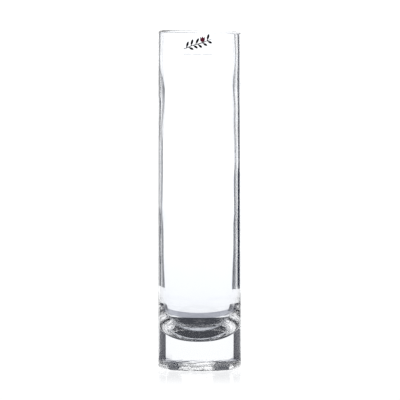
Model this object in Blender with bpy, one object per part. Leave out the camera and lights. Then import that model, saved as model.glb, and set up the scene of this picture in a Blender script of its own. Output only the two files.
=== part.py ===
"""Glass cylinder vase: a thick-based hand-made glass body with a clear printed sticker under its rim.

Metres, +Z up. The origin is the centre of the underside, and the sticker faces -Y.
Every sub-part is its own object with its own material.
"""

import math

import bmesh
import bpy
from mathutils import Vector

# Outer form of the glass
HEIGHT = 0.250  # from the underside to the middle of the rim
BODY_RADIUS = 0.03085  # widest, at BELLY_HEIGHT
BELLY_HEIGHT = 0.34 * HEIGHT
RIM_NARROWING = 0.00025  # how much smaller the radius is at the rim than at the belly
FOOT_NARROWING = 0.00010
FOOT_EDGE = 0.0033  # radius of the rounded bottom edge
RIM_TILT = 0.014  # slope of the rim, which is lower towards +X
RIM_TILT_START = 0.80 * HEIGHT  # the rim's slope fades out below this height

# Hollow of the glass
LEFT_REACH = 0.0283  # from the axis to the hollow's wall on the -X side, at the bowl
RIGHT_REACH = 0.0275  # and on the +X side, where the wall is thicker
BOWL_FLOOR = 0.0205  # height of the hollow's lowest point: the solid base below it
BOWL_TOP = 0.0620  # where the straight wall starts
BOWL_POWER = 2.5  # 2 is an ellipse, and a larger number a squarer bowl
LIP_ROUND = 0.0013  # height of the rounded lip

# Sticker and its print
GAP = 0.0003  # clearance between pieces that touch
FILM_THICK = 0.00010
INK_THICK = 0.00010
FILM_WIDTH = 0.0250
FILM_LOW = 0.2314
FILM_HIGH = 0.2483
FILM_CORNER = 0.0020
MOTIF_CENTRE = (-0.0016, 0.2415)  # across the front, and height
STEM_HALF_SPAN = 0.0102
STEM_RISE = 0.0036
STEM_HALF_WIDTH = 0.00030
LEAF_HALF_WIDTH = 0.00085
LEAF_ROOT = 0.00022  # half the width of the neck between a leaf and the stem
LEAF_ANGLE = math.radians(50)
UPPER_LEAVES = {"length": 0.0050, "places": (-0.78, -0.45, -0.12, 0.70)}  # along the stem, from -1 to 1
LOWER_LEAVES = {"length": 0.0038, "places": (-0.62, -0.29, 0.04, 0.37, 0.70)}
BUD_PLACE = 0.36  # where along the stem the bud stands above it
BUD_RADIUS = 0.00170
RULE_HEIGHT = 0.0008
RULE_MIDDLE = 0.2341
RULE_SPANS = {
    "left": (-0.0120, -0.0062),
    "middle": (-0.0047, 0.0009),
    "right": (0.0024, 0.0091),
}

# Fineness of the solids
SIDES = 48
STRIP = 0.0022  # widest flat strip of a wrapped plate


def smooth_step(x, low, high):
    """0 below low, 1 above high, and a smooth rise between."""
    t = min(max((x - low) / (high - low), 0.0), 1.0)
    return t * t * (3 - 2 * t)


def outer_radius(z):
    """Radius of the outside, which swells slightly towards the belly."""
    if z > BELLY_HEIGHT:
        return BODY_RADIUS - RIM_NARROWING * ((z - BELLY_HEIGHT) / (HEIGHT - BELLY_HEIGHT)) ** 2
    return BODY_RADIUS - FOOT_NARROWING * (1 - z / BELLY_HEIGHT) ** 4


def bump(z, centre, width):
    """1 at the centre, falling smoothly to 0 on both sides."""
    return math.exp(-(((z - centre) / width) ** 2))


def left_edge(z):
    """How far the hollow reaches towards -X above the bowl."""
    edge = LEFT_REACH + 0.00040 * smooth_step(z, 0.055, 0.085)
    edge += 0.00030 * smooth_step(z, 0.122, 0.140) + 0.00030 * smooth_step(z, 0.205, 0.226)
    return edge + 0.00050 * bump(z, 0.120, 0.013) - 0.00105 * bump(z, 0.197, 0.017)


def right_edge(z):
    """How far the hollow reaches towards +X above the bowl."""
    edge = RIGHT_REACH + 0.00015 * smooth_step(z, 0.055, 0.085)
    edge += 0.00030 * bump(z, 0.118, 0.012) + 0.00020 * bump(z, 0.145, 0.018)
    return edge - 0.00025 * bump(z, 0.182, 0.008) - 0.00080 * bump(z, 0.205, 0.015)


def bore_radius(z):
    """Radius of the hollow: a gently waved wall that closes in a round bowl."""
    radius = (left_edge(z) + right_edge(z)) / 2 - 0.00035 * smooth_step(z, 0.232, 0.248)
    if z < BOWL_TOP:
        depth = (BOWL_TOP - z) / (BOWL_TOP - BOWL_FLOOR)
        radius *= max(1 - depth**BOWL_POWER, 0.0) ** (1 / BOWL_POWER)
    return radius


def bore_shift(z):
    """Sideways place of the hollow's centre, which wanders a little on the way up."""
    return (right_edge(z) - left_edge(z)) / 2


def steps(low, high, count):
    """count + 1 evenly spaced numbers from low to high."""
    return [low + (high - low) * i / count for i in range(count + 1)]


def glass_profile():
    """(radius, height, sideways shift) of each ring, up the outside, over the lip and down into the bowl."""
    rings = []
    for turn in steps(0, math.pi / 2, 4):
        z = FOOT_EDGE * (1 - math.cos(turn))
        inset = FOOT_EDGE * (1 - math.sin(turn))
        rings.append((outer_radius(z) - inset, z, 0.0))
    shoulder = HEIGHT - LIP_ROUND
    for z in steps(FOOT_EDGE, shoulder, 12)[1:]:
        rings.append((outer_radius(z), z, 0.0))
    outside = (outer_radius(shoulder), 0.0)
    inside = (bore_radius(shoulder), bore_shift(shoulder))
    for turn in steps(0, math.pi, 6)[1:-1]:
        share = (1 + math.cos(turn)) / 2
        radius, shift = (share * a + (1 - share) * b for a, b in zip(outside, inside))
        rings.append((radius, shoulder + LIP_ROUND * math.sin(turn), shift))
    for z in steps(shoulder, BOWL_TOP, 32):
        rings.append((bore_radius(z), z, bore_shift(z)))
    for turn in steps(0, math.pi / 2, 10)[1:-1]:
        z = BOWL_TOP - (BOWL_TOP - BOWL_FLOOR) * math.sin(turn)
        rings.append((bore_radius(z), z, bore_shift(z)))
    return rings


def add_object(name, bm, material):
    """Turns a finished bmesh into a named object with one material."""
    bmesh.ops.recalc_face_normals(bm, faces=bm.faces[:])
    mesh = bpy.data.meshes.new(name)
    bm.to_mesh(mesh)
    bm.free()
    mesh.materials.append(material)
    mesh.shade_smooth()
    mesh.set_sharp_from_angle(angle=math.radians(40))
    obj = bpy.data.objects.new(name, mesh)
    bpy.context.scene.collection.objects.link(obj)
    return obj


def make_material(name, colour, roughness, transmission=0.0, alpha=1.0):
    """A Principled material."""
    material = bpy.data.materials.new(name)
    material.use_nodes = True
    shader = material.node_tree.nodes["Principled BSDF"]
    shader.inputs["Base Color"].default_value = (*colour, 1.0)
    shader.inputs["Roughness"].default_value = roughness
    shader.inputs["Metallic"].default_value = 0.0
    shader.inputs["Transmission Weight"].default_value = transmission
    shader.inputs["Alpha"].default_value = alpha
    material.diffuse_color = (*colour, alpha)
    return material


def make_glass_body():
    """The one-piece glass: rings joined by quads, a flat underside, and a point at the bowl's lowest place."""
    bm = bmesh.new()
    rings = []
    for radius, z, shift in glass_profile():
        ring = []
        for i in range(SIDES):
            angle = 2 * math.pi * (i + 0.5) / SIDES
            x = shift + radius * math.cos(angle)
            y = radius * math.sin(angle)
            drop = RIM_TILT * x * smooth_step(z, RIM_TILT_START, HEIGHT)
            ring.append(bm.verts.new((x, y, z - drop)))
        rings.append(ring)
    for lower, upper in zip(rings, rings[1:]):
        for i in range(SIDES):
            j = (i + 1) % SIDES
            bm.faces.new((lower[i], lower[j], upper[j], upper[i]))
    bm.faces.new(rings[0])
    floor = bm.verts.new((bore_shift(BOWL_FLOOR), 0, BOWL_FLOOR))
    for i in range(SIDES):
        bm.faces.new((rings[-1][i], rings[-1][(i + 1) % SIDES], floor))
    return add_object("glass_body", bm, make_material("clear_glass", (0.93, 0.96, 0.98), 0.02, 1.0))


def make_wrapped_plate(name, outline, stand_off, thickness, material):
    """A thin plate with the given outline of (across, height) points, wrapped on the glass's front.

    stand_off is the clearance between the plate's back and the glass.
    """
    bm = bmesh.new()
    face = bm.faces.new([bm.verts.new((across, height, 0)) for across, height in outline])
    if face.normal.z < 0:
        face.normal_flip()
    low = min(across for across, _ in outline)
    high = max(across for across, _ in outline)
    cuts = math.ceil((high - low) / STRIP)
    for across in steps(low, high, cuts)[1:-1]:
        everything = bm.verts[:] + bm.edges[:] + bm.faces[:]
        bmesh.ops.bisect_plane(bm, geom=everything, dist=1e-7, plane_co=(across, 0, 0), plane_no=(1, 0, 0))
    bmesh.ops.triangulate(bm, faces=bm.faces[:])
    grown = bmesh.ops.extrude_face_region(bm, geom=bm.faces[:])["geom"]
    front = [item for item in grown if isinstance(item, bmesh.types.BMVert)]
    bmesh.ops.translate(bm, verts=front, vec=Vector((0, 0, thickness)))
    for vert in bm.verts:
        across, height, out = vert.co
        radius = outer_radius(height) + stand_off + out
        angle = across / outer_radius(height)
        vert.co = (radius * math.sin(angle), -radius * math.cos(angle), height)
    return add_object(name, bm, material)


def rounded_rectangle(low_x, high_x, low_z, high_z, corner, arc_steps=3):
    """Outline of a rectangle with round corners, anticlockwise from its lower right corner."""
    centres = (
        (high_x - corner, low_z + corner, -90),
        (high_x - corner, high_z - corner, 0),
        (low_x + corner, high_z - corner, 90),
        (low_x + corner, low_z + corner, 180),
    )
    points = []
    for x, z, start in centres:
        for degrees in steps(start, start + 90, arc_steps):
            turn = math.radians(degrees)
            points.append((x + corner * math.cos(turn), z + corner * math.sin(turn)))
    return points


def stem_point(t):
    """Point of the sprig's stem, a shallow S from t = -1 at the left to 1 at the right."""
    across = STEM_HALF_SPAN * t
    height = STEM_RISE * (0.55 * t + 0.45 * math.sin(math.pi * t / 2) ** 3)
    return Vector((MOTIF_CENTRE[0] + across, MOTIF_CENTRE[1] + height))


def stem_direction(t):
    """Unit vector along the stem."""
    return (stem_point(t + 0.01) - stem_point(t - 0.01)).normalized()


def turned(vector, angle):
    """A flat vector turned anticlockwise by angle."""
    c, s = math.cos(angle), math.sin(angle)
    return Vector((c * vector.x - s * vector.y, s * vector.x + c * vector.y))


def leaf_edge(t, side, length):
    """Points round one leaf, from its root before t to its root after t, on the stem's side (1 above, -1 below)."""
    along = turned(stem_direction(t), side * LEAF_ANGLE)
    across = turned(along, side * math.pi / 2)
    root = stem_point(t) + turned(stem_direction(t), side * math.pi / 2) * STEM_HALF_WIDTH
    near = []
    far = []
    for share in (0.0, 0.2, 0.4, 0.6, 0.8):
        middle = root + along * length * (0.08 + 0.92 * share)
        half_width = LEAF_ROOT + (LEAF_HALF_WIDTH - LEAF_ROOT) * math.sin(math.pi * share) ** 0.8
        near.append(middle + across * half_width)
        far.append(middle - across * half_width)
    return near + [root + along * length] + far[::-1]


def stem_edge_point(t, side):
    """Point on the stem's upper (side 1) or lower (side -1) edge, which tapers to the stem's tip."""
    half_width = STEM_HALF_WIDTH * (1 - 0.25 * (t + 1))
    return stem_point(t) + turned(stem_direction(t), side * math.pi / 2) * half_width


def sprig_outline():
    """Outline of the whole sprig: along the stem's lower edge with its leaves, and back along the upper edge."""
    points = []
    for side, leaves in ((-1, LOWER_LEAVES), (1, UPPER_LEAVES)):
        edge = [stem_edge_point(-1, side)]
        for t in leaves["places"]:
            neck = 1.6 * LEAF_ROOT / STEM_HALF_SPAN
            edge.append(stem_edge_point(t - neck, side))
            edge += leaf_edge(t, side, leaves["length"])
            edge.append(stem_edge_point(t + 2 * neck, side))
        edge.append(stem_edge_point(1, side))
        points += edge if side < 0 else edge[::-1]
    return [tuple(point) for point in points]


def bud_outline():
    """Outline of a small flower bud above the stem: a round cup with three points."""
    cup_depth = 1.1 * BUD_RADIUS
    x, z = stem_point(BUD_PLACE) + Vector((0, STEM_HALF_WIDTH + GAP + cup_depth))
    points = []
    for degrees in steps(180, 360, 8):
        turn = math.radians(degrees)
        points.append((x + BUD_RADIUS * math.cos(turn), z + cup_depth * math.sin(turn)))
    for across, height in ((0.95, 1.2), (0.45, 0.6), (0.0, 1.4), (-0.45, 0.6), (-0.95, 1.2)):
        points.append((x + BUD_RADIUS * across, z + BUD_RADIUS * height))
    return points


def make_sticker():
    """The clear film and the ink on it."""
    film = rounded_rectangle(-FILM_WIDTH / 2, FILM_WIDTH / 2, FILM_LOW, FILM_HIGH, FILM_CORNER)
    film_material = make_material("clear_film", (0.97, 0.98, 0.98), 0.12, 0.0, 0.25)
    make_wrapped_plate("label_film", film, GAP, FILM_THICK, film_material)

    ink_stand_off = GAP + FILM_THICK + GAP
    dark_ink = make_material("dark_ink", (0.035, 0.035, 0.040), 0.45)
    make_wrapped_plate("label_sprig_print", sprig_outline(), ink_stand_off, INK_THICK, dark_ink)
    red_ink = make_material("red_ink", (0.30, 0.020, 0.035), 0.45)
    make_wrapped_plate("label_bud_print", bud_outline(), ink_stand_off, INK_THICK, red_ink)
    grey_ink = make_material("grey_ink", (0.42, 0.43, 0.45), 0.50)
    for place, (low_x, high_x) in RULE_SPANS.items():
        low_z = RULE_MIDDLE - RULE_HEIGHT / 2
        rule = [(low_x, low_z), (high_x, low_z), (high_x, low_z + RULE_HEIGHT), (low_x, low_z + RULE_HEIGHT)]
        make_wrapped_plate(f"label_rule_{place}", rule, ink_stand_off, INK_THICK, grey_ink)


def main():
    for obj in list(bpy.data.objects):
        bpy.data.objects.remove(obj)
    make_glass_body()
    make_sticker()


main()
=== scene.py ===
"""Looks of the glass cylinder vase: fine glass, a clear printed sticker, and a bright studio table.

Metres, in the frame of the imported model: +Z up, the sticker faces -Y, the underside is at z = 0.
"""

import math

import bmesh
import bpy
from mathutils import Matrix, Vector


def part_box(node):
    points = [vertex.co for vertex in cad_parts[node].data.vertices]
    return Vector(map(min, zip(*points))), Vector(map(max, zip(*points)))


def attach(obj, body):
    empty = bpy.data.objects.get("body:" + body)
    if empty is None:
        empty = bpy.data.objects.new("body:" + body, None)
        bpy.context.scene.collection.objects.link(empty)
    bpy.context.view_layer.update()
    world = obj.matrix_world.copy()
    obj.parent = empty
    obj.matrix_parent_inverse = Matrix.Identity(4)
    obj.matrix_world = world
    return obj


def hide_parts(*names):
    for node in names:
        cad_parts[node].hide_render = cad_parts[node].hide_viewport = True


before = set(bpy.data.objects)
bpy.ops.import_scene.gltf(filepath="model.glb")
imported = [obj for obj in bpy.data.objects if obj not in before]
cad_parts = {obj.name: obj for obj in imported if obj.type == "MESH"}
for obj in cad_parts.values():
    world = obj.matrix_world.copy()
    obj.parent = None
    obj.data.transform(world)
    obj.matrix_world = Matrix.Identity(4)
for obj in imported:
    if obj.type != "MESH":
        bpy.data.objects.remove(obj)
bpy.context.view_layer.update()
glass_low, glass_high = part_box("glass_body")

# Outer form of the glass
CAD_SIDES = 48  # flat sides of the CAD's glass, whose box is a little narrower than its circle
BODY_RADIUS = (glass_high.x - glass_low.x) / 2 / math.cos(math.pi / CAD_SIDES)
RIM_TILT = 0.014  # slope of the rim, which is lower towards +X
RIM_REACH = 0.0288  # how far out the rim is highest
HEIGHT = glass_high.z - RIM_TILT * RIM_REACH
BELLY_HEIGHT = 0.34 * HEIGHT
RIM_NARROWING = 0.00025
FOOT_NARROWING = 0.00010
FOOT_EDGE = 0.0033
RIM_TILT_START = 0.80 * HEIGHT

# Hollow of the glass
LEFT_REACH = 0.0283
RIGHT_REACH = 0.0275
BOWL_FLOOR = 0.0205
BOWL_TOP = 0.0620
BOWL_POWER = 2.5
LIP_ROUND = 0.0013
SIDES = 300

# Camera
CAMERA_DISTANCE = 5.0
CAMERA_ABOVE_RIM = 0.157
FRAME_WIDTH = 0.2963  # width of the view at the vase
AIM = Vector((0.00026, 0.0, 0.1250))

# Studio
FLOOR_RADIUS = 7.0
FLOOR_HEIGHT = -0.0002
WORLD_STRENGTH = 1.20
TENT_RADIUS = 0.090  # the radius that the strips' angles are given at
BACK_OF_GLASS = 0.030  # where lines of sight leave the glass
EXIT_REACH = 0.028  # how far sideways they leave it, which shifts a card's angle
CARD_DIVISIONS = 24

# The two side strips, dark sheets of painted shade that draw the dark lines in the glass wall,
# which stay clear of the diagonals
SLOPE_15 = math.tan(math.radians(15))
FAR_END = 39.5  # degrees
STRIP_LOW, STRIP_HIGH = 0.039, 0.262  # the heights on the vase that they darken
STRIP_STEPS = 80
STRIP_MARGIN = 0.014
EXIT_RISE = 0.003
ON_TABLE = 0.0003  # height of the part that lies on the table
UPRIGHT_RADIUS = 0.25  # of the top part, which stands upright
UPRIGHT_TOP = 0.28


def smooth_step(x, low, high):
    t = min(max((x - low) / (high - low), 0.0), 1.0)
    return t * t * (3 - 2 * t)


def outer_radius(z):
    if z > BELLY_HEIGHT:
        return BODY_RADIUS - RIM_NARROWING * ((z - BELLY_HEIGHT) / (HEIGHT - BELLY_HEIGHT)) ** 2
    return BODY_RADIUS - FOOT_NARROWING * (1 - z / BELLY_HEIGHT) ** 4


def bump(z, centre, width):
    return math.exp(-(((z - centre) / width) ** 2))


def left_edge(z):
    """How far the hollow reaches towards -X above the bowl."""
    edge = LEFT_REACH + 0.00040 * smooth_step(z, 0.055, 0.085)
    edge += 0.00030 * smooth_step(z, 0.122, 0.140) + 0.00030 * smooth_step(z, 0.205, 0.226)
    return edge + 0.00050 * bump(z, 0.120, 0.013) - 0.00105 * bump(z, 0.197, 0.017)


def right_edge(z):
    """How far the hollow reaches towards +X above the bowl."""
    edge = RIGHT_REACH + 0.00015 * smooth_step(z, 0.055, 0.085)
    edge += 0.00030 * bump(z, 0.118, 0.012) + 0.00020 * bump(z, 0.145, 0.018)
    return edge - 0.00025 * bump(z, 0.182, 0.008) - 0.00080 * bump(z, 0.205, 0.015)


def bore_radius(z):
    """Radius of the hollow: a gently waved wall that closes in a round bowl."""
    radius = (left_edge(z) + right_edge(z)) / 2 - 0.00035 * smooth_step(z, 0.232, 0.248)
    if z < BOWL_TOP:
        depth = (BOWL_TOP - z) / (BOWL_TOP - BOWL_FLOOR)
        radius *= max(1 - depth**BOWL_POWER, 0.0) ** (1 / BOWL_POWER)
    return radius


def bore_shift(z):
    """Sideways place of the hollow's centre, which wanders a little on the way up."""
    return (right_edge(z) - left_edge(z)) / 2


def steps(low, high, count):
    return [low + (high - low) * i / count for i in range(count + 1)]


def glass_profile():
    rings = []
    flat = outer_radius(0) - FOOT_EDGE
    for share in (0.02, 0.25, 0.5, 0.75, 0.9, 0.97):
        rings.append((flat * share, 0.0, 0.0))
    for turn in steps(0, math.pi / 2, 14):
        z = FOOT_EDGE * (1 - math.cos(turn))
        inset = FOOT_EDGE * (1 - math.sin(turn))
        rings.append((outer_radius(z) - inset, z, 0.0))
    shoulder = HEIGHT - LIP_ROUND
    for z in steps(FOOT_EDGE, shoulder, 80)[1:]:
        rings.append((outer_radius(z), z, 0.0))
    outside = (outer_radius(shoulder), 0.0)
    inside = (bore_radius(shoulder), bore_shift(shoulder))
    for turn in steps(0, math.pi, 16)[1:-1]:
        share = (1 + math.cos(turn)) / 2
        radius, shift = (share * a + (1 - share) * b for a, b in zip(outside, inside))
        rings.append((radius, shoulder + LIP_ROUND * math.sin(turn), shift))
    for z in steps(shoulder, BOWL_TOP, 110):
        rings.append((bore_radius(z), z, bore_shift(z)))
    for turn in steps(0, math.pi / 2, 48)[1:-1]:
        z = BOWL_TOP - (BOWL_TOP - BOWL_FLOOR) * math.sin(turn)
        rings.append((bore_radius(z), z, bore_shift(z)))
    return rings


def link(name, data):
    obj = bpy.data.objects.new(name, data)
    bpy.context.scene.collection.objects.link(obj)
    return obj


def bm_object(name, bm, smooth=True):
    bmesh.ops.recalc_face_normals(bm, faces=bm.faces[:])
    mesh = bpy.data.meshes.new(name)
    bm.to_mesh(mesh)
    bm.free()
    if smooth:
        mesh.shade_smooth()
    return link(name, mesh)


def make_glass():
    bm = bmesh.new()
    rings = []
    for radius, z, shift in glass_profile():
        ring = []
        for i in range(SIDES):
            angle = 2 * math.pi * i / SIDES
            x = shift + radius * math.cos(angle)
            y = radius * math.sin(angle)
            drop = RIM_TILT * x * smooth_step(z, RIM_TILT_START, HEIGHT)
            ring.append(bm.verts.new((x, y, z - drop)))
        rings.append(ring)
    for lower, upper in zip(rings, rings[1:]):
        for i in range(SIDES):
            j = (i + 1) % SIDES
            bm.faces.new((lower[i], lower[j], upper[j], upper[i]))
    foot = bm.verts.new((0, 0, 0))
    floor = bm.verts.new((bore_shift(BOWL_FLOOR), 0, BOWL_FLOOR))
    for i in range(SIDES):
        j = (i + 1) % SIDES
        bm.faces.new((foot, rings[0][j], rings[0][i]))
        bm.faces.new((rings[-1][i], rings[-1][j], floor))
    return bm_object("vase_glass", bm)


def new_material(name):
    mat = bpy.data.materials.new(name)
    mat.use_nodes = True
    nt = mat.node_tree
    return mat, nt, nt.nodes["Principled BSDF"]


def noise(nt, scale, detail=2.0, vector=None):
    """A noise texture in object space, or along the given vector."""
    if vector is None:
        vector = nt.nodes.new("ShaderNodeTexCoord").outputs["Object"]
    tex = nt.nodes.new("ShaderNodeTexNoise")
    tex.inputs["Scale"].default_value = scale
    tex.inputs["Detail"].default_value = detail
    nt.links.new(vector, tex.inputs["Vector"])
    return tex


def two_tone(nt, tex, low, high):
    ramp = nt.nodes.new("ShaderNodeValToRGB")
    ramp.color_ramp.elements[0].color = (*low, 1)
    ramp.color_ramp.elements[1].color = (*high, 1)
    ramp.color_ramp.elements[0].position = 0.35
    ramp.color_ramp.elements[1].position = 0.65
    nt.links.new(tex.outputs["Fac"], ramp.inputs["Fac"])
    return ramp.outputs["Color"]


def glass_material():
    """Clear glass with a breath of blue, and a coarsely ground underside."""
    mat, nt, p = new_material("clear_glass")
    tint = two_tone(nt, noise(nt, 22.0), (0.970, 0.980, 1.0), (0.985, 0.992, 1.0))
    nt.links.new(tint, p.inputs["Base Color"])
    p.inputs["Roughness"].default_value = 0.0
    p.inputs["IOR"].default_value = 1.5
    p.inputs["Transmission Weight"].default_value = 1.0
    coords = nt.nodes.new("ShaderNodeTexCoord")
    split = nt.nodes.new("ShaderNodeSeparateXYZ")
    nt.links.new(coords.outputs["Object"], split.inputs[0])
    ground = nt.nodes.new("ShaderNodeMapRange")  # full at the underside, gone above the foot edge
    ground.inputs["From Min"].default_value = 0.0056
    ground.inputs["From Max"].default_value = 0.0030
    nt.links.new(split.outputs["Z"], ground.inputs["Value"])
    stretch = nt.nodes.new("ShaderNodeMapping")
    stretch.inputs["Scale"].default_value = (1.0, 0.5, 3.0)
    nt.links.new(coords.outputs["Object"], stretch.inputs["Vector"])
    grain = noise(nt, 170.0, 3.0, stretch.outputs["Vector"])
    grain.inputs["Distortion"].default_value = 0.6
    bump_node = nt.nodes.new("ShaderNodeBump")
    bump_node.inputs["Distance"].default_value = 0.0016
    nt.links.new(ground.outputs["Result"], bump_node.inputs["Strength"])
    nt.links.new(grain.outputs["Fac"], bump_node.inputs["Height"])
    nt.links.new(bump_node.outputs["Normal"], p.inputs["Normal"])
    return mat


def film_material():
    mat, nt, p = new_material("clear_film")
    tint = two_tone(nt, noise(nt, 300.0), (0.985, 0.988, 0.99), (1, 1, 1))
    nt.links.new(tint, p.inputs["Base Color"])
    p.inputs["Roughness"].default_value = 0.02
    p.inputs["IOR"].default_value = 1.12
    p.inputs["Transmission Weight"].default_value = 1.0
    return mat


def ink_material(name, low, high):
    mat, nt, p = new_material(name)
    tint = two_tone(nt, noise(nt, 2500.0, 4.0), low, high)
    nt.links.new(tint, p.inputs["Base Color"])
    p.inputs["Roughness"].default_value = 0.55
    p.inputs["Specular IOR Level"].default_value = 0.2
    return mat


def make_camera():
    data = bpy.data.cameras.new("camera")
    cam = link("camera", data)
    cam.location = (AIM.x, -CAMERA_DISTANCE, HEIGHT + CAMERA_ABOVE_RIM)
    look = AIM - cam.location
    cam.rotation_mode = "QUATERNION"
    cam.rotation_quaternion = look.to_track_quat("-Z", "Y")
    data.sensor_width = 36
    data.lens = data.sensor_width / 2 / (FRAME_WIDTH / 2 / look.length)
    data.clip_start, data.clip_end = 0.1, 100
    bpy.context.scene.camera = cam


def emission_material(name, colour):
    mat = bpy.data.materials.new(name)
    mat.use_nodes = True
    nt = mat.node_tree
    nt.nodes.clear()
    out = nt.nodes.new("ShaderNodeOutputMaterial")
    emit = nt.nodes.new("ShaderNodeEmission")
    emit.inputs["Color"].default_value = (*colour, 1)
    emit.inputs["Strength"].default_value = 1.0
    nt.links.new(emit.outputs[0], out.inputs[0])
    return mat


def make_floor():
    """A pale glowing table with painted shade, dimmer close to the vase and brighter away from it,
    and glossy only close to it.
    """
    bm = bmesh.new()
    bmesh.ops.create_circle(bm, cap_ends=True, segments=96, radius=FLOOR_RADIUS)
    for v in bm.verts:
        v.co.z = FLOOR_HEIGHT
    floor = bm_object("studio_table", bm, smooth=False)
    mat = bpy.data.materials.new("white_table")
    mat.use_nodes = True
    nt = mat.node_tree
    nt.nodes.clear()
    out = nt.nodes.new("ShaderNodeOutputMaterial")
    mix = nt.nodes.new("ShaderNodeMixShader")
    glow = nt.nodes.new("ShaderNodeEmission")
    gloss = nt.nodes.new("ShaderNodeBsdfGlossy")
    coords = nt.nodes.new("ShaderNodeTexCoord")
    away = nt.nodes.new("ShaderNodeVectorMath")
    away.operation = "LENGTH"
    # painted shade: the glow is dimmer close to the vase and grows brighter out to 3 m
    ramp = nt.nodes.new("ShaderNodeMapRange")
    ramp.interpolation_type = "SMOOTHSTEP"
    ramp.inputs["From Min"].default_value = 0.0
    ramp.inputs["From Max"].default_value = 3.0
    ramp.inputs["To Min"].default_value = 1.06
    ramp.inputs["To Max"].default_value = 1.28
    nt.links.new(coords.outputs["Object"], away.inputs[0])
    nt.links.new(away.outputs["Value"], ramp.inputs["Value"])
    nt.links.new(ramp.outputs["Result"], glow.inputs["Strength"])
    glow.inputs["Color"].default_value = (0.982, 0.988, 1.0, 1)
    gloss.inputs["Color"].default_value = (1, 1, 1, 1)
    gloss.inputs["Roughness"].default_value = 0.04
    shine = nt.nodes.new("ShaderNodeMapRange")
    shine.inputs["From Min"].default_value = 0.07
    shine.inputs["From Max"].default_value = 0.16
    shine.inputs["To Min"].default_value = 0.20
    shine.inputs["To Max"].default_value = 0.0
    nt.links.new(away.outputs["Value"], shine.inputs["Value"])
    nt.links.new(shine.outputs["Result"], mix.inputs[0])
    nt.links.new(glow.outputs[0], mix.inputs[1])
    nt.links.new(gloss.outputs[0], mix.inputs[2])
    nt.links.new(mix.outputs[0], out.inputs[0])
    floor.data.materials.append(mat)
    floor.visible_glossy = False


def card(name, rows, side, colour, glossy=False):
    """A curved grey card round the vase, through rows of (radius, height, from angle, to angle).

    0 degrees is straight behind the vase seen from the front, and side 1 is towards +X. The camera
    doesn't see a card itself, only what the glass shows of it: through it, or in its gloss.
    """
    # Each card is a glowing sheet seen only in the glass, which paints shade into it, or painted
    # light for the lit patch.
    bm = bmesh.new()
    grid = []
    for radius, height, start, end in rows:
        line = []
        for deg in steps(start, end, CARD_DIVISIONS):
            a = math.radians(deg)
            x, y = side * radius * math.sin(a), radius * math.cos(a)
            line.append(bm.verts.new((x, y, height)))
        grid.append(line)
    for low, high in zip(grid, grid[1:]):
        for i in range(len(low) - 1):
            bm.faces.new((low[i], low[i + 1], high[i + 1], high[i]))
    obj = bm_object(name, bm)
    obj.data.materials.append(emission_material(name, colour))
    obj.visible_camera = False
    obj.visible_diffuse = False
    obj.visible_glossy = glossy
    obj.visible_transmission = not glossy
    obj.visible_shadow = False
    return obj


# Rows of (height on the vase, from angle, to angle), which make the dark lines in the wall: painted
# shade, drawn by dark sheets seen through the glass
RIGHT_STRIP = (
    (0.000, 30, 58), (0.050, 30, 57), (0.098, 33, 54), (0.110, 32, 56), (0.140, 32, 56),
    (0.155, 35, 50), (0.192, 35, 52), (0.202, 36, 58), (0.215, 37, 62), (0.300, 37, 62),
)
LEFT_STRIP = (
    (0.000, 28, 58), (0.075, 28, 54), (0.110, 28, 50), (0.130, 27, 48), (0.172, 27, 48),
    (0.182, 29, 50), (0.200, 31, 60), (0.215, 32, 61), (0.300, 32, 61),
)

# Colours of the cards, which glow: painted shade, except the lit patch's grey, which is painted
# light
# painted shade: the dark lines in the glass wall, seen through the glass
SHADE_STRIP_BLUE = (0.010, 0.015, 0.034)
# painted reflection: dark side walls seen only in the glass's gloss
CHARCOAL = (0.030, 0.032, 0.050)
# painted shade: a low dark flag that darkens the sides of the foot, seen through the glass
FLAG_GREY = (0.055, 0.055, 0.070)
# painted shade: the painted shadow under the foot, and the dark ceiling, seen through the glass
SLATE = (0.060, 0.063, 0.072)
# painted shade under the edge of the foot
EDGE_GREY = (0.14, 0.145, 0.18)
# painted shade behind the foot, lighter than under it
BACK_GREY = (0.45, 0.46, 0.51)
# painted light: the lit patch under the middle of the foot, seen through the glass
PATCH_GREY = (0.62, 0.64, 0.68)

# Rows of the other cards; the walls show only in gloss as painted reflections, and the under ones
# lie below the glass as a painted shadow under the foot, with a painted lit patch near its middle
# painted shade at the sides of the foot
LOW_FLAG = ((0.0, 27, 63), (0.022, 27, 63))
# painted reflection: dark walls that show only in the glass's gloss
RIGHT_WALL = ((0.10, -0.001, 36, 180), (1.5, -0.001, 30, 180), (1.5, 1.5, 22, 180))
LEFT_WALL = ((0.10, -0.001, 40, 180), (1.5, -0.001, 38, 180), (1.5, 1.5, 36, 180))
# painted shadow under the foot, in three greys seen through the glass
UNDER = ((0.0005, -0.0001, 0, 180), (0.065, -0.0001, 0, 180))
UNDER_EDGE = ((0.060, -0.00015, 22, 158), (0.100, -0.00015, 22, 158))
UNDER_BACK = ((0.060, -0.00015, 0, 22), (0.100, -0.00015, 0, 22))
# painted light under the middle of the foot
LIT_PATCH = ((0.0002, -0.00005, 0, 180), (0.009, -0.00005, 0, 180))
# painted shade: a dark sheet overhead, seen only through the glass
CEILING = ((1.4, 0.57, 0, 180), (1.15, 0.9, 0, 180), (0.6, 1.25, 0, 180), (0.001, 1.4, 0, 180))


def between(rows, z):
    """Start and end angles at height z, read between the rows."""
    for low, high in zip(rows, rows[1:]):
        if low[0] <= z <= high[0]:
            share = (z - low[0]) / (high[0] - low[0])
            return [a + share * (b - a) for a, b in zip(low[1:], high[1:])]
    return rows[0][1:] if z < rows[0][0] else rows[-1][1:]


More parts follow.
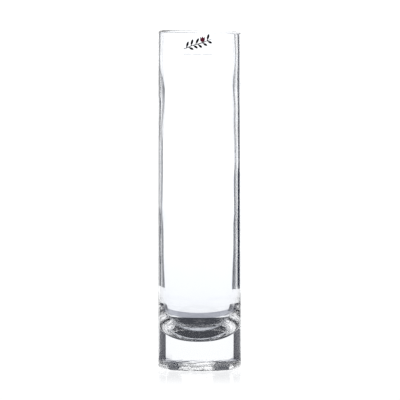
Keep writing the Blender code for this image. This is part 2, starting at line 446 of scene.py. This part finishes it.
def far_rows(rows):
    """A side card, a dark sheet of painted shade, that runs out along the table behind the vase and
    then slopes back up.

    It covers the directions of the given rows, which are angles at TENT_RADIUS, and stops short of
    the diagonals. A known fault: from 10 to 40 degrees to either side of the front, up to about 15
    degrees above the table, it shows straight through the upper glass as a dark slab.
    """
    sheet = []
    for z in steps(STRIP_LOW, STRIP_HIGH, STRIP_STEPS):
        leaves = z + EXIT_RISE
        fall = (HEIGHT + CAMERA_ABOVE_RIM - leaves) / CAMERA_DISTANCE
        drop = HEIGHT + STRIP_MARGIN - leaves - BACK_OF_GLASS * fall
        radius = max(drop / (SLOPE_15 - fall), UPRIGHT_RADIUS)
        height = leaves - fall * (radius - BACK_OF_GLASS)
        if height < ON_TABLE:
            radius = BACK_OF_GLASS + leaves / fall
            height = ON_TABLE
        near, far = math.asin(EXIT_REACH / TENT_RADIUS), math.asin(EXIT_REACH / radius)
        turn = math.degrees(near - far)
        start, end = between(rows, z)
        sheet.append((radius, height, start - turn, min(end - turn, FAR_END)))
    top = sheet[-1]
    return sheet + [(top[0], UPRIGHT_TOP, *top[2:])]


def make_cards():
    for side in (-1, 1):
        label = "left" if side < 0 else "right"
        strip = LEFT_STRIP if side < 0 else RIGHT_STRIP
        wall = LEFT_WALL if side < 0 else RIGHT_WALL
        flag = [(TENT_RADIUS, *row) for row in LOW_FLAG]
        # painted shade: the dark lines in the glass wall
        card(f"strip_{label}", far_rows(strip), side, SHADE_STRIP_BLUE)
        # painted shade at the sides of the foot
        card(f"low_flag_{label}", flag, side, FLAG_GREY)
        # painted reflection: dark walls seen only in the glass's gloss
        card(f"side_wall_{label}", wall, side, CHARCOAL, glossy=True)
        # painted shadow under the foot, seen through the glass
        under = card(f"under_{label}", UNDER, side, SLATE)
        under.scale.x = 0.65
        edge = card(f"under_edge_{label}", UNDER_EDGE, side, EDGE_GREY)
        edge.scale.x = 1.3
        back = card(f"under_back_{label}", UNDER_BACK, side, BACK_GREY)
        back.scale.x = 2.2
        # painted light: a lit patch under the foot, seen through the glass
        patch = card(f"lit_patch_{label}", LIT_PATCH, side, PATCH_GREY)
        patch.scale.x = 3.4
        patch.location.y = 0.010
        # painted shade overhead, seen only through the glass
        card(f"ceiling_{label}", CEILING, side, SLATE)


def make_world():
    world = bpy.data.worlds.new("studio_white")
    world.use_nodes = True
    bg = world.node_tree.nodes["Background"]
    bg.inputs[0].default_value = (1, 1, 1, 1)
    bg.inputs[1].default_value = WORLD_STRENGTH
    bpy.context.scene.world = world


scene = bpy.context.scene
make_camera()
glass = make_glass()
glass.data.materials.append(glass_material())
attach(glass, "root")
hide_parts("glass_body")
dark = ink_material("dark_ink", (0.002, 0.002, 0.003), (0.010, 0.010, 0.014))
red = ink_material("red_ink", (0.060, 0.000, 0.010), (0.110, 0.002, 0.022))
grey = ink_material("grey_ink", (0.58, 0.59, 0.61), (0.74, 0.75, 0.77))
looks = {"label_film": film_material(), "label_sprig_print": dark, "label_bud_print": red}
for name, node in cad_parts.items():
    if name != "glass_body":
        node.data.materials.clear()
        node.data.materials.append(looks.get(name, grey))
make_floor()
make_cards()
make_world()
scene.view_settings.view_transform = "Standard"
scene.cycles.max_bounces = 32
scene.cycles.transmission_bounces = 32
scene.cycles.glossy_bounces = 32
